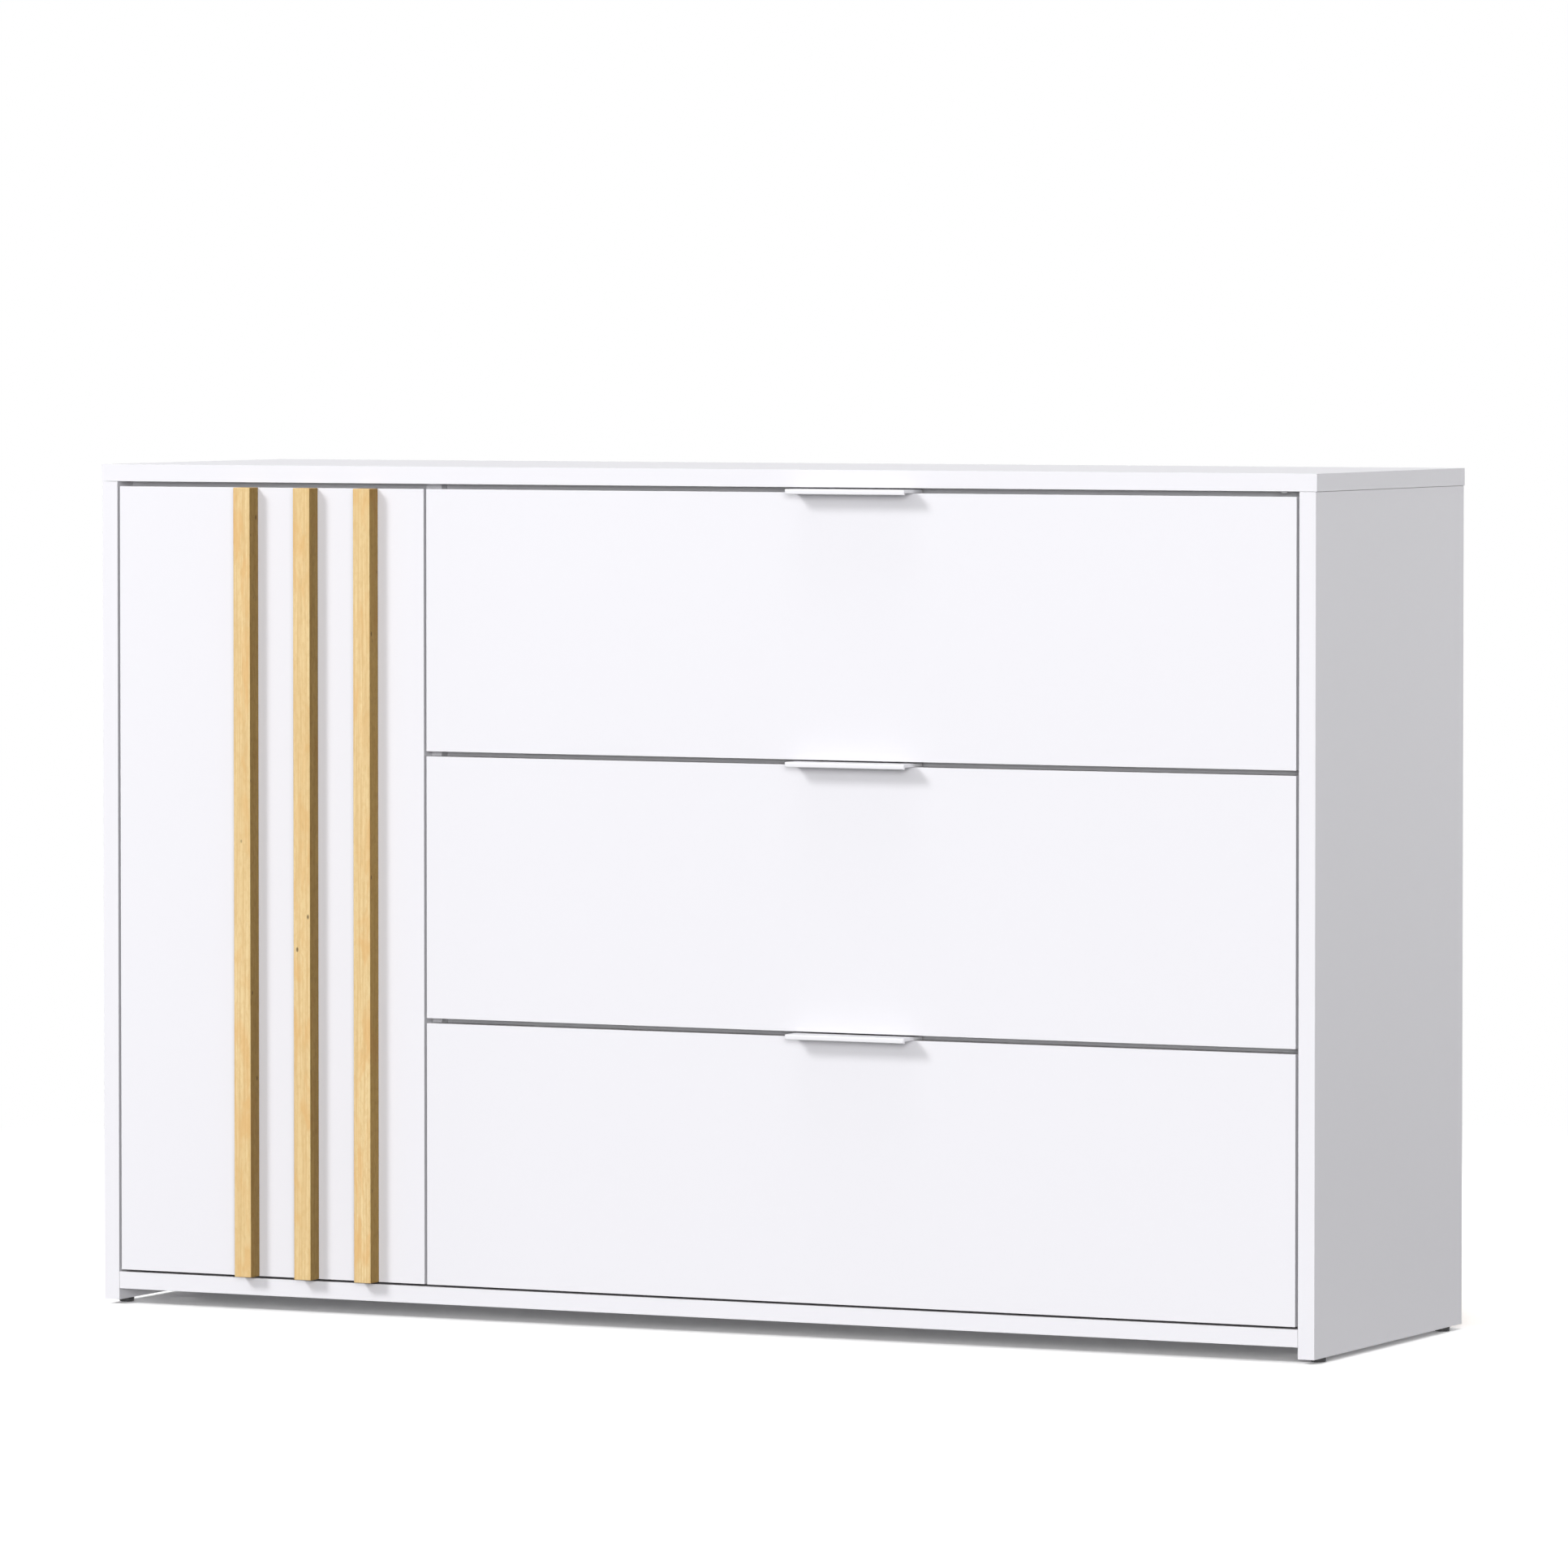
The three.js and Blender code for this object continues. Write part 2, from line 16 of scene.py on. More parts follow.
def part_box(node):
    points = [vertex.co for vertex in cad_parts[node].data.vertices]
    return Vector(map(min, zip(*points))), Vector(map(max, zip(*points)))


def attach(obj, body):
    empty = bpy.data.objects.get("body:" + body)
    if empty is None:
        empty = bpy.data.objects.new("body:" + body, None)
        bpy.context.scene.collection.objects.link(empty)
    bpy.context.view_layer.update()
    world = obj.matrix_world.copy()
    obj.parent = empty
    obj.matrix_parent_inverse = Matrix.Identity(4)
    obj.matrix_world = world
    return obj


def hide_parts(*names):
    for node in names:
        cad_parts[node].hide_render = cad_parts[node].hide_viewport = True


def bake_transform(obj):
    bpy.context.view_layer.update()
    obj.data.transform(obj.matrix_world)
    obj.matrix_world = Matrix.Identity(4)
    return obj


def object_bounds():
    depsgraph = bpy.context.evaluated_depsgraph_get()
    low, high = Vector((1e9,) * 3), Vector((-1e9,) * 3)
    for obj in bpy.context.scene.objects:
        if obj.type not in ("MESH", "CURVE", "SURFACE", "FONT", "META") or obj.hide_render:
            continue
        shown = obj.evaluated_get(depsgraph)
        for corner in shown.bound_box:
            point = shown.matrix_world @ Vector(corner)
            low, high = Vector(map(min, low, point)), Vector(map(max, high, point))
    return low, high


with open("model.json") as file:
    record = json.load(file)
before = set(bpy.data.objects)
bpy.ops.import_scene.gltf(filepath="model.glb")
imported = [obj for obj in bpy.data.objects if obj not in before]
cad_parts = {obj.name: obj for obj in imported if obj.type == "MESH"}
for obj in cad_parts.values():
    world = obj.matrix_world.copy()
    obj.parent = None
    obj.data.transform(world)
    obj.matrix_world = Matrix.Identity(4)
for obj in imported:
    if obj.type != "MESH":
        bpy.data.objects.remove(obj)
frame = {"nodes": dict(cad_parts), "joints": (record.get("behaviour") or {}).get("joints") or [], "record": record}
cad_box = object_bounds()

MM = 0.001
X_AXIS = Vector((1, 0, 0))
Y_AXIS = Vector((0, 1, 0))
Z_AXIS = Vector((0, 0, 1))

# ---- Camera, light and floor ---------------------------------------------------

CAMERA_PLACE = (4.5032, -9.20746, 1.05773)
CAMERA_LENS = 224.328
CAMERA_YAW = math.radians(25.981)
CAMERA_PITCH = math.radians(-2.1)
CAMERA_SHIFT = -0.0732
CAMERA_CLIP = (0.1, 200.0)

# Lamps: direction of travel, distance, diameter, brightness of a facing white surface, and how
# often their light bounces. Steep light stays direct: a lit ledge would glow on the board above.
LAMPS = {
    "key": ((0.65, 1.0, -0.7), 12.0, 3.3, 0.43, 0),
    "fill": ((-0.43, 0.9, -0.13), 28.0, 11.2, 0.66, 1),
    "top": ((0.0, 0.06, -1.0), 8.0, 4.5, 0.25, 0),
    "right": ((-1.0, 0.05, 0.0), 8.0, 4.0, 0.168, 2),
    "left": ((1.0, 0.0, 0.0), 8.0, 4.0, 0.3, 4),
    "back": ((0.0, -1.0, 0.0), 8.0, 4.0, 0.6, 4),
}
SKY_LIGHT = 0.2

FLOOR_HALF = 60.0
FLOOR_BOUNCE = 0.25
FLOOR_SHOWN = 2.1
FLOOR_FADE = (1.3, 2.6)


def link_object(name, data):
    item = bpy.data.objects.new(name, data)
    bpy.context.scene.collection.objects.link(item)
    return item


def add_camera():
    data = bpy.data.cameras.new("camera")
    data.lens = CAMERA_LENS
    data.shift_y = CAMERA_SHIFT
    data.clip_start, data.clip_end = CAMERA_CLIP
    camera = link_object("camera", data)
    turn = Matrix.Rotation(CAMERA_YAW, 4, "Z")
    turn @= Matrix.Rotation(math.pi / 2 + CAMERA_PITCH, 4, "X")
    camera.matrix_world = Matrix.Translation(CAMERA_PLACE) @ turn
    bpy.context.scene.camera = camera


def add_lamp(name, travel, distance, size, level, bounces):
    """Large soft lamp that the camera doesn't see, aimed at the middle of the sideboard.

    Its power lights a white surface that faces it, at that distance, to the level.
    """
    data = bpy.data.lights.new(name, "AREA")
    data.shape = "DISK"
    data.size = size
    data.cycles.max_bounces = bounces
    data.energy = level * (math.pi * distance) ** 2
    lamp = link_object(name, data)
    travel = Vector(travel).normalized()
    middle = (cad_box[0] + cad_box[1]) / 2
    aim = travel.to_track_quat("-Z", "Y").to_matrix().to_4x4()
    lamp.matrix_world = Matrix.Translation(middle - travel * distance) @ aim
    lamp.visible_camera = False


class Nodes:
    """Short calls that build one node tree."""

    def __init__(self, tree):
        self.tree = tree
        tree.nodes.clear()

    def feed(self, socket, value):
        """Links an output to a socket, or sets the socket's plain value."""
        if isinstance(value, bpy.types.NodeSocket):
            self.tree.links.new(value, socket)
        else:
            socket.default_value = value

    def add(self, kind, inputs=None, **settings):
        node = self.tree.nodes.new("ShaderNode" + kind)
        for name, value in settings.items():
            setattr(node, name, value)
        for key, value in (inputs or {}).items():
            self.feed(node.inputs[key], value)
        return node

    def math(self, operation, *values):
        inputs = dict(enumerate(values))
        return self.add("Math", inputs, operation=operation).outputs[0]

    def spread(self, value, low, high, to_low=0.0, to_high=1.0):
        """Maps low..high to to_low..to_high, smoothly and without overshoot."""
        inputs = {"Value": value, "From Min": low, "From Max": high}
        inputs.update({"To Min": to_low, "To Max": to_high})
        return self.add("MapRange", inputs, interpolation_type="SMOOTHSTEP").outputs[0]

    def seen(self):
        """1 for camera, glossy and transmission rays, 0 for the rays that light surfaces."""
        rays = self.add("LightPath").outputs
        seen = self.math("MAXIMUM", rays["Is Camera Ray"], rays["Is Glossy Ray"])
        return self.math("MAXIMUM", seen, rays["Is Transmission Ray"])

    def blend_shaders(self, factor, first, second):
        return self.add("MixShader", {0: factor, 1: first, 2: second}).outputs[0]


def add_sky():
    """Even light from all sides, shown as plain white."""
    world = bpy.data.worlds.new("studio")
    world.use_nodes = True
    nodes = Nodes(world.node_tree)
    strength = nodes.math("MULTIPLY_ADD", nodes.seen(), 1.0 - SKY_LIGHT, SKY_LIGHT)
    light = nodes.add("Background", {"Color": (1, 1, 1, 1), "Strength": strength})
    nodes.add("OutputWorld", {"Surface": light.outputs[0]})
    bpy.context.scene.world = world


def tone(red, green, blue):
    return (red, green, blue, 1.0)


def grey(value):
    return tone(value, value, value)


def floor_material():
    """Pale floor that takes the shadows near the sideboard and turns plain white away from it."""
    material = bpy.data.materials.new("studio_floor")
    material.use_nodes = True
    nodes = Nodes(material.node_tree)
    lit = nodes.add("BsdfDiffuse", {"Color": grey(FLOOR_BOUNCE)}).outputs[0]
    near = nodes.add("BsdfDiffuse", {"Color": grey(FLOOR_SHOWN)}).outputs[0]
    far = nodes.add("Emission", {"Color": grey(1.0), "Strength": 1.0}).outputs[0]
    place = nodes.add("NewGeometry").outputs["Position"]
    distance = nodes.add("VectorMath", {0: place}, operation="LENGTH").outputs["Value"]
    fade = nodes.spread(distance, *FLOOR_FADE)
    mirrored = nodes.add("LightPath").outputs["Is Glossy Ray"]
    shown = nodes.blend_shaders(nodes.math("MAXIMUM", fade, mirrored), near, far)
    surface = nodes.blend_shaders(nodes.seen(), lit, shown)
    nodes.add("OutputMaterial", {"Surface": surface})
    return material


def add_floor():
    mesh = bpy.data.meshes.new("studio_floor")
    corners = [(-1, -1), (1, -1), (1, 1), (-1, 1)]
    mesh.from_pydata([(x * FLOOR_HALF, y * FLOOR_HALF, 0) for x, y in corners], [], [range(4)])
    mesh.materials.append(floor_material())
    link_object("studio_floor", mesh)


# ---- Finishes ------------------------------------------------------------------

NOISE_SPAN = (0.3, 0.7)  # where most of a noise's values lie
CLOUD = 2.3  # cycles per metre
MELAMINE = (tone(0.892, 0.884, 0.926), tone(0.906, 0.898, 0.94))
MELAMINE_GRAIN = 850.0  # cycles per metre
MELAMINE_RELIEF = 0.012 * MM
MELAMINE_SURFACE = {"Specular IOR Level": 0.35}


class Look(Nodes):
    """A material with one Principled shader, whose patterns lie in the piece's own space."""

    def __init__(self, name, surface):
        self.material = bpy.data.materials.new(name)
        self.material.use_nodes = True
        super().__init__(self.material.node_tree)
        self.shader = self.add("BsdfPrincipled", surface)
        self.add("OutputMaterial", {"Surface": self.shader.outputs["BSDF"]})
        space = self.add("TexCoord").outputs
        self.place = space["Object"]
        self.normal = space["Normal"]

    def scaled(self, scale):
        return self.add("Mapping", {"Vector": self.place, "Scale": scale}).outputs["Vector"]

    def noise(self, scale, detail=2.0, roughness=0.5, distortion=0.0):
        """Noise whose scale is cycles per metre along X, Y and Z."""
        inputs = {"Vector": self.scaled(scale), "Scale": 1.0, "Detail": detail}
        inputs.update({"Roughness": roughness, "Distortion": distortion})
        return self.add("TexNoise", inputs).outputs["Fac"]

    def even_noise(self, scale, **settings):
        return self.noise((scale, scale, scale), **settings)

    def mix(self, factor, first, second):
        inputs = {"Factor": factor, "A": first, "B": second}
        node = self.add("Mix", data_type="RGBA")
        sockets = {s.name: s for s in node.inputs if s.enabled}
        for name, value in inputs.items():
            self.feed(sockets[name], value)
        return next(s for s in node.outputs if s.enabled)

    def layers(self, base, *layers):
        """Mixes tones over a base: pattern, where it sets in, where it is full, share, tone."""
        for pattern, start, full, share, over in layers:
            base = self.mix(self.spread(pattern, start, full, 0.0, share), base, over)
        return base

    def color(self, value):
        self.feed(self.shader.inputs["Base Color"], value)

    def rough(self, value):
        self.feed(self.shader.inputs["Roughness"], value)

    def relief(self, height, depth):
        """Fine surface relief of that depth in metres."""
        inputs = {"Height": height, "Distance": depth, "Strength": 1.0}
        bump = self.add("Bump", inputs)
        self.feed(self.shader.inputs["Normal"], bump.outputs["Normal"])

    def facing(self, axis):
        """How far the surface faces along an axis of the piece, from -1 to 1."""
        inputs = {0: self.normal, 1: axis}
        return self.add("VectorMath", inputs, operation="DOT_PRODUCT").outputs["Value"]


def coated(name, tones, roughness, grain, depth, surface):
    """Even coat with a faint cloud in its colour and a fine grain in its gloss and relief."""
    look = Look(name, surface)
    cloud = look.even_noise(CLOUD, detail=3.0)
    fine = look.even_noise(grain, detail=3.0, roughness=0.6)
    look.color(look.mix(cloud, *tones))
    look.rough(look.spread(fine, *NOISE_SPAN, *roughness))
    look.relief(fine, depth)
    return look.material


def white_board_look():
    return coated(
        "melamine_white", MELAMINE, roughness=(0.42, 0.5), grain=MELAMINE_GRAIN,
        depth=MELAMINE_RELIEF, surface=MELAMINE_SURFACE,
    )


def front_board_look():
    """The same board, whose lower edge is painted as bare core chips, as painted shade in the gaps below."""
    look = Look("melamine_front", MELAMINE_SURFACE)
    cloud = look.even_noise(CLOUD, detail=3.0)
    fine = look.even_noise(MELAMINE_GRAIN, detail=3.0, roughness=0.6)
    chips = look.noise((420.0, 900.0, 900.0), detail=4.0, roughness=0.7)
    # Painted shade: the fronts' downward faces turn dark brown, so the gaps under them look dark.
    brown_face = look.spread(look.facing(tuple(-Z_AXIS)), 0.8, 0.95)
    gap_shade_core = look.mix(chips, tone(0.16, 0.1, 0.055), tone(0.38, 0.27, 0.16))
    look.color(look.mix(brown_face, look.mix(cloud, *MELAMINE), gap_shade_core))
    look.rough(look.spread(brown_face, 0.0, 1.0, 0.46, 0.9))
    look.relief(look.mix(brown_face, fine, chips), MELAMINE_RELIEF)
    return look.material


def drawer_board_look():
    return coated(
        "foil_white", (tone(0.85, 0.85, 0.85), tone(0.875, 0.873, 0.868)),
        roughness=(0.45, 0.55), grain=500.0, depth=0.015 * MM,
        surface={"Specular IOR Level": 0.35},
    )


def white_metal_look():
    return coated(
        "powder_coat_white", (tone(0.9, 0.895, 0.93), tone(0.915, 0.91, 0.945)),
        roughness=(0.5, 0.6), grain=700.0, depth=0.02 * MM,
        surface={"Specular IOR Level": 0.25},
    )


def white_plastic_look():
    return coated(
        "plastic_white", (tone(0.86, 0.86, 0.87), tone(0.89, 0.89, 0.9)),
        roughness=(0.3, 0.4), grain=900.0, depth=0.01 * MM,
        surface={"Specular IOR Level": 0.5},
    )


def black_plastic_look():
    return coated(
        "plastic_black", (tone(0.016, 0.016, 0.018), tone(0.026, 0.026, 0.028)),
        roughness=(0.42, 0.58), grain=1200.0, depth=0.03 * MM,
        surface={"Specular IOR Level": 0.45},
    )


def zinc_look():
    """Zinc plate: bright grey with faint bluish and yellowish patches and fine drawing lines."""
    look = Look("zinc_plate", {"Metallic": 1.0})
    patches = look.even_noise(45.0, detail=3.0)
    lines = look.noise((1800.0, 60.0, 1800.0))
    look.color(look.mix(patches, tone(0.6, 0.61, 0.64), tone(0.7, 0.69, 0.66)))
    look.rough(look.spread(lines, *NOISE_SPAN, 0.26, 0.4))
    look.relief(lines, 0.012 * MM)
    return look.material


def hardboard_look():
    """White lacquer on one face and bare brown fibre, a little cloudy, on the other."""
    look = Look("hardboard", {"Specular IOR Level": 0.3})
    bare_back = look.facing(tuple(Y_AXIS))
    bare_under = look.facing(tuple(-Z_AXIS))
    brown_face = look.spread(look.math("MAXIMUM", bare_back, bare_under), 0.45, 0.55)
    fibres = look.even_noise(260.0, detail=4.0, roughness=0.7, distortion=0.8)
    patches = look.even_noise(7.0, detail=3.0)
    clouds = look.even_noise(38.0, detail=4.0, roughness=0.65)
    brown = look.mix(fibres, tone(0.18, 0.105, 0.052), tone(0.42, 0.275, 0.16))
    brown = look.layers(
        brown,
        (clouds, 0.42, 0.68, 0.5, tone(0.22, 0.13, 0.068)),
        (patches, 0.4, 0.62, 0.5, tone(0.36, 0.235, 0.135)),
    )
    lacquer = look.mix(patches, tone(0.8, 0.795, 0.785), tone(0.83, 0.825, 0.81))
    look.color(look.mix(brown_face, lacquer, brown))
    look.rough(look.spread(brown_face, 0.0, 1.0, 0.5, 0.85))
    look.relief(fibres, 0.05 * MM)
    return look.material


def oak_look():
    """Pale oak with upright grain, speckles, warm blotches, short pores and small knots.

    The slats' flanks, which face along X, are painted darker as shade, and have more knots.
    """
    look = Look("oak_lacquered", {"Specular IOR Level": 0.25})
    figure = look.noise((95.0, 95.0, 3.2), detail=3.0, distortion=0.5)
    grain = look.noise((620.0, 620.0, 9.0), detail=3.0, roughness=0.6)
    speckle = look.noise((330.0, 330.0, 130.0), detail=3.0, roughness=0.65)
    pores = look.noise((2100.0, 2100.0, 55.0))
    blotch = look.noise((48.0, 48.0, 13.0), detail=3.0, roughness=0.6, distortion=0.6)
    length = look.noise((4.0, 4.0, 2.2))

    pale = look.mix(figure, tone(0.82, 0.615, 0.315), tone(0.92, 0.725, 0.405))
    pale = look.layers(
        pale,
        (grain, 0.38, 0.66, 0.75, tone(0.72, 0.48, 0.215)),
        (speckle, 0.4, 0.7, 0.42, tone(0.7, 0.46, 0.19)),
        (blotch, 0.47, 0.66, 0.62, tone(0.78, 0.46, 0.175)),
        (length, 0.35, 0.65, 0.3, tone(0.74, 0.515, 0.225)),
        (pores, 0.62, 0.78, 0.4, tone(0.43, 0.265, 0.115)),
    )

    # Painted shade: the flanks, which face along X, take darker tones than the fronts.
    side = look.math("ABSOLUTE", look.facing(tuple(X_AXIS)))
    side = look.spread(side, 0.4, 0.9)
    shaded_flank = look.mix(figure, tone(0.335, 0.205, 0.053), tone(0.44, 0.28, 0.077))
    shaded_flank = look.layers(
        shaded_flank,
        (grain, 0.35, 0.75, 0.6, tone(0.26, 0.147, 0.036)),
        (speckle, 0.42, 0.7, 0.5, tone(0.233, 0.13, 0.032)),
        (blotch, 0.5, 0.72, 0.5, tone(0.335, 0.168, 0.04)),
    )
    wood_and_flank_shade = look.mix(side, pale, shaded_flank)

    cells = look.add("TexVoronoi", {"Vector": look.scaled((75.0, 75.0, 40.0)), "Scale": 1.0})
    chance = look.add("SeparateColor", {"Color": cells.outputs["Color"]}).outputs["Red"]
    rare = look.math("GREATER_THAN", chance, look.spread(side, 0.0, 1.0, 0.94, 0.55))
    heart = look.spread(cells.outputs["Distance"], 0.07, 0.15, 1.0, 0.0)
    knot = look.math("MULTIPLY", heart, rare)
    look.color(look.mix(look.math("MULTIPLY", knot, 0.8), wood_and_flank_shade, tone(0.08, 0.04, 0.012)))

    look.rough(look.spread(grain, *NOISE_SPAN, 0.5, 0.62))
    look.relief(look.math("ADD", grain, look.math("MULTIPLY", pores, 0.5)), 0.04 * MM)
    return look.material


FINISHES = {
    "white_board": white_board_look,
    "oak": oak_look,
    "drawer_board": drawer_board_look,
    "hardboard": hardboard_look,
    "white_metal": white_metal_look,
    "zinc_steel": zinc_look,
    "black_plastic": black_plastic_look,
    "white_plastic": white_plastic_look,
}
finish_of = {slot: make() for slot, make in FINISHES.items()}

# ---- Solids: lists of points and faces -----------------------------------------

ROUND_STEPS = 4  # of a rounded corner
HEAD_SIDES = 24  # of a screw's or cam's head


def lathe(profile, sides=32):
    """(radius, height) points turned about Z. A point on the axis closes an end."""
    points, rings = [], []
    for radius, height in profile:
        count = sides if radius > 0 else 1
        start = len(points)
        for i in range(count):
            angle = 2 * math.pi * i / sides
            points.append((radius * math.cos(angle), radius * math.sin(angle), height))
        rings.append([start + i % count for i in range(sides)])
    faces = []
    for low, high in zip(rings, rings[1:]):
        for i in range(sides):
            j = (i + 1) % sides
            faces.append(list(dict.fromkeys([low[i], low[j], high[j], high[i]])))
    return points, faces


def loft(sections):
    """Skin through closed sections of equal length, with a face at each end."""
    count = len(sections[0])
    points = [tuple(point) for section in sections for point in section]
    last = len(points) - count
    faces = [list(range(count)), [last + i for i in range(count)]]
    for start in range(0, last, count):
        for i in range(count):
            j = (i + 1) % count
            faces.append([start + i, start + j, start + count + j, start + count + i])
    return points, faces


def rounded(corners, radii):
    """Closed 2-D outline with each corner rounded by its radius."""
    points = []
    count = len(corners)
    for i, radius in enumerate(radii):
        corner = Vector(corners[i])
        back = (Vector(corners[i - 1]) - corner).normalized()
        ahead = (Vector(corners[(i + 1) % count]) - corner).normalized()
        reach = radius / math.tan(back.angle(ahead) / 2)
        first, last = corner + back * reach, corner + ahead * reach
        for step in range(ROUND_STEPS + 1):
            t = step / ROUND_STEPS
            point = first * (1 - t) ** 2 + corner * 2 * t * (1 - t) + last * t ** 2
            points.append(tuple(point))
    return points


def circle(radius, sides):
    turns = [2 * math.pi * i / sides for i in range(sides)]
    return [(radius * math.cos(angle), radius * math.sin(angle)) for angle in turns]


def cross(arm, half):
    """Outline of a cross recess: length of an arm from the centre, half its width."""
    quarter = [(arm, -half), (arm, half), (half, half)]
    points = []
    for turn in range(4):
        spin = Matrix.Rotation(turn * math.pi / 2, 2)
        points += [tuple(spin @ Vector(point)) for point in quarter]
    return points


def loops_filled(loops, height):
    """Flat faces between an outer outline and its holes, at a height."""
    mesh = bmesh.new()
    for loop in loops:
        corners = [mesh.verts.new((x, y, height)) for x, y in loop]
        for i, corner in enumerate(corners):
            mesh.edges.new((corners[i - 1], corner))
    bmesh.ops.triangle_fill(mesh, use_beauty=True, use_dissolve=False, edges=mesh.edges[:])
    mesh.verts.index_update()
    points = [tuple(vertex.co) for vertex in mesh.verts]
    faces = [[vertex.index for vertex in face.verts] for face in mesh.faces]
    mesh.free()
    return points, faces


def wall(loop, low, high):
    """Upright faces along a closed outline."""
    count = len(loop)
    points = [(x, y, low) for x, y in loop] + [(x, y, high) for x, y in loop]
    faces = []
    for i in range(count):
        j = (i + 1) % count
        faces.append([i, j, count + j, count + i])
    return points, faces


def together(solids):
    points, faces = [], []
    for some_points, some_faces in solids:
        start = len(points)
        points += some_points
        faces += [[start + i for i in face] for face in some_faces]
    return points, faces


def plate(outer, holes, thickness):
    """Flat plate with holes, lying on Z = 0."""
    loops = [outer, *holes]
    sides = [wall(loop, 0.0, thickness) for loop in loops]
    return together([loops_filled(loops, 0.0), loops_filled(loops, thickness), *sides])


def block(low, high):
    """Box between two corners."""
    xs, ys, zs = zip(low, high)
    points = [(x, y, z) for x in xs for y in ys for z in zs]
    faces = [[0, 1, 3, 2], [4, 5, 7, 6], [0, 1, 5, 4], [2, 3, 7, 6], [0, 2, 6, 4], [1, 3, 7, 5]]
    return points, faces


def prism(outline, low, high):
    """Upright solid on an outline in plan, between two heights."""
    return placed(plate(outline, [], high - low), (0, 0, low))


def oblong(width, height, radius):
    """Outline of a rectangle with round corners, centred on the origin."""
    x, y = width / 2, height / 2
    return rounded([(-x, -y), (x, -y), (x, y), (-x, y)], [radius] * 4)


def driven_head(profile, arm, half, depth):
    """Head of a screw or cam: a lathed flank and a flat top with a cross recess."""
    radius, top = profile[-1]
    recess = cross(arm, half)
    flank = lathe(profile, HEAD_SIDES)
    face = loops_filled([circle(radius, HEAD_SIDES), recess], top)
    floor = loops_filled([recess], top - depth)
    return together([flank, face, wall(recess, top - depth, top), floor])


def placed(solid, place, facing=Z_AXIS):
    """Turns a solid's +Z to a direction and moves its origin to a place."""
    points, faces = solid
    turn = facing.to_track_quat("Z", "Y").to_matrix()
    return [tuple(turn @ Vector(point) + Vector(place)) for point in points], faces


# ---- Pieces --------------------------------------------------------------------

SMOOTH_ANGLE = math.radians(40)
WELD_REACH = 0.01 * MM
SAME_POINT = 0.001 * MM


def bevel_edges(item, width, segments=2):
    weld = item.modifiers.new("weld", "WELD")
    weld.merge_threshold = WELD_REACH
    bevel = item.modifiers.new("bevel", "BEVEL")
    bevel.width = width
    bevel.segments = segments
    bevel.limit_method = "ANGLE"
    bevel.angle_limit = SMOOTH_ANGLE
    bevel.use_clamp_overlap = True
    bevel.harden_normals = True


def piece(name, solids, slot, body=None, bevel=0.0, replaces=()):
    """New mesh made of solids, with a record slot's finish, riding on a body."""
    points, faces = together(solids)
    mesh = bpy.data.meshes.new(name)
    mesh.from_pydata(points, [], faces)
    work = bmesh.new()
    work.from_mesh(mesh)
    bmesh.ops.remove_doubles(work, verts=work.verts[:], dist=SAME_POINT)
    bmesh.ops.recalc_face_normals(work, faces=work.faces[:])
    work.to_mesh(mesh)
    work.free()
    mesh.shade_smooth()
    mesh.set_sharp_from_angle(angle=SMOOTH_ANGLE)
    mesh.materials.append(finish_of[slot])
    item = link_object(name, mesh)
    if bevel:
        bevel_edges(item, bevel)
    if body:
        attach(item, body)
    if replaces:
        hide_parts(*replaces)
    return item


# Width and segments of the bevel of the kept CAD nodes' edges, by material slot
NODE_BEVELS = {
    "white_board": (0.2 * MM, 2),
    "oak": (0.7 * MM, 3),
    "drawer_board": (0.6 * MM, 2),
    "hardboard": (0.15 * MM, 2),
    "zinc_steel": (0.25 * MM, 2),
}

FRONTS = ("door_panel", "bottom_drawer_front", "middle_drawer_front", "top_drawer_front")
front_finish = front_board_look()


def dress_nodes():
    """Finishes and softened edges for every CAD node. Replaced nodes are hidden later."""
    for part in frame["record"]["subparts"]:
        node = frame["nodes"][part["node"]]
        slot = part["material_slot"]
        finish = front_finish if part["node"] in FRONTS else finish_of[slot]
        if not node.material_slots:
            node.data.materials.append(finish)
        for place in node.material_slots:
            place.material = finish
        if slot in NODE_BEVELS:
            bevel_edges(node, *NODE_BEVELS[slot])


DRAWERS = ("bottom", "middle", "top")
HINGES = ("lower", "upper")
SIDES = ("left", "right")
SEAT = 0.3 * MM  # gap that stands for contact

# Inner faces of the upright boards. Their boxes take in the shelf pins, so the faces come
# from the bottom panel's ends and from the board's thickness.
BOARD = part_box("top_panel")[1].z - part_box("top_panel")[0].z
LEFT_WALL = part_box("bottom_panel")[0].x - SEAT
RIGHT_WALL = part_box("bottom_panel")[1].x + SEAT
DIVIDER_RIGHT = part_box("divider_panel")[1].x
DIVIDER_LEFT = DIVIDER_RIGHT - BOARD

# Heads of small fittings: (radius, height) of the flank, then the recess' arm, half width
# and depth
PAN_SCREW_HEIGHT = 2.0 * MM
PAN_SCREW = driven_head(
    [(0, 0), (3.6 * MM, 0), (3.6 * MM, 0.7 * MM), (3.0 * MM, 1.6 * MM),
     (2.3 * MM, PAN_SCREW_HEIGHT)],
    1.7 * MM, 0.4 * MM, 1.3 * MM,
)
FLAT_SCREW = driven_head(
    [(0, -0.6 * MM), (3.6 * MM, -0.6 * MM), (3.6 * MM, 0.2 * MM), (3.4 * MM, 0.33 * MM)],
    2.0 * MM, 0.45 * MM, 0.8 * MM,
)
CAM = driven_head(
    [(0, -0.8 * MM), (7.4 * MM, -0.8 * MM), (7.4 * MM, 0.1 * MM), (7.0 * MM, 0.35 * MM)],
    3.4 * MM, 0.8 * MM, 1.0 * MM,
)
CAM_COVER = lathe(
    [(0, 0), (8.6 * MM, 0), (8.6 * MM, 0.5 * MM), (8.0 * MM, 0.95 * MM), (5.0 * MM, 1.25 * MM),
     (0, 1.35 * MM)],
    sides=40,
)

# ---- Edge handles --------------------------------------------------------------

